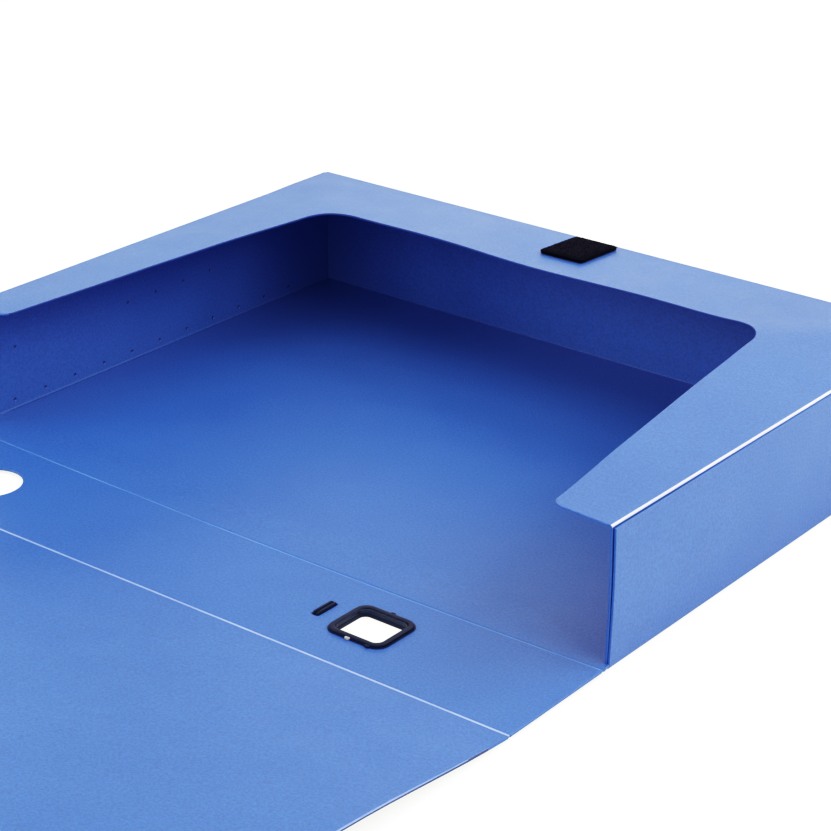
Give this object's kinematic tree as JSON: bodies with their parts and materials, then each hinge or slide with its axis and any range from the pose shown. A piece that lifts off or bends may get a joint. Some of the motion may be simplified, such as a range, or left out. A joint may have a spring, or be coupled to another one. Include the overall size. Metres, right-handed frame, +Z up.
{
  "type": "archival box",
  "caption": "Open A4 document box of creased plastic sheet: double-walled tray with a U-shaped rim, hinged spine with finger hole and finger pull, hinged cover and hook-and-loop closure.",
  "frame": {"origin": "centre of the flat underside of the tray", "axes": "+X along the spine to the right, +Y from the spine towards the fore-edge wall, +Z up"},
  "size_m": [0.32, 0.5238, 0.0568],
  "materials": {
    "pp_sheet": "fine sand grain, soft sheen",
    "pp_crease": "smooth, pressed thin",
    "pp_weld": "fused, darker",
    "black_moulding": "satin moulded",
    "fastener_textile": "brushed pile",
    "adhesive": "matte",
    "clear_film": "clear",
    "label_paper": "matte"
  },
  "bodies": {
    "tray": {"base_panel": "pp_sheet", "fore_edge_wall": "pp_sheet", "left_outer_wall": "pp_sheet", "right_outer_wall": "pp_sheet", "left_inner_wall": "pp_sheet", "right_inner_wall": "pp_sheet", "left_wall_welds": "pp_weld", "right_wall_welds": "pp_weld", "left_corner_tab": "pp_sheet", "right_corner_tab": "pp_sheet", "rim_flange": "pp_sheet", "loop_adhesive": "adhesive", "loop_patch": "fastener_textile", "spine_hinge_web": "pp_crease"},
    "spine": {"spine_panel": "pp_sheet", "finger_pull": "black_moulding", "retaining_ring": "black_moulding", "label_pocket": "clear_film", "cover_hinge_web": "pp_crease"},
    "cover": {"cover_panel": "pp_sheet", "hook_adhesive": "adhesive", "hook_patch": "fastener_textile"},
    "label": {"label_card": "label_paper"}
  },
  "joints": [
    {"name": "spine_fold", "type": "hinge", "parent": "tray", "child": "spine", "pos_m": [0, -0.1202, 0.0013], "axis": [-1, 0, 0], "range_deg": [0, 90], "deforming": ["spine_hinge_web"]},
    {"name": "cover_fold", "type": "hinge", "parent": "spine", "child": "cover", "pos_m": [0, -0.1744, 0.0013], "axis": [-1, 0, 0], "range_deg": [-4.1, 85], "deforming": ["cover_hinge_web"]},
    {"name": "label_slide", "type": "slide", "parent": "spine", "child": "label", "axis": [-1, 0, 0], "range_m": [0, 0.138]}
  ]
}
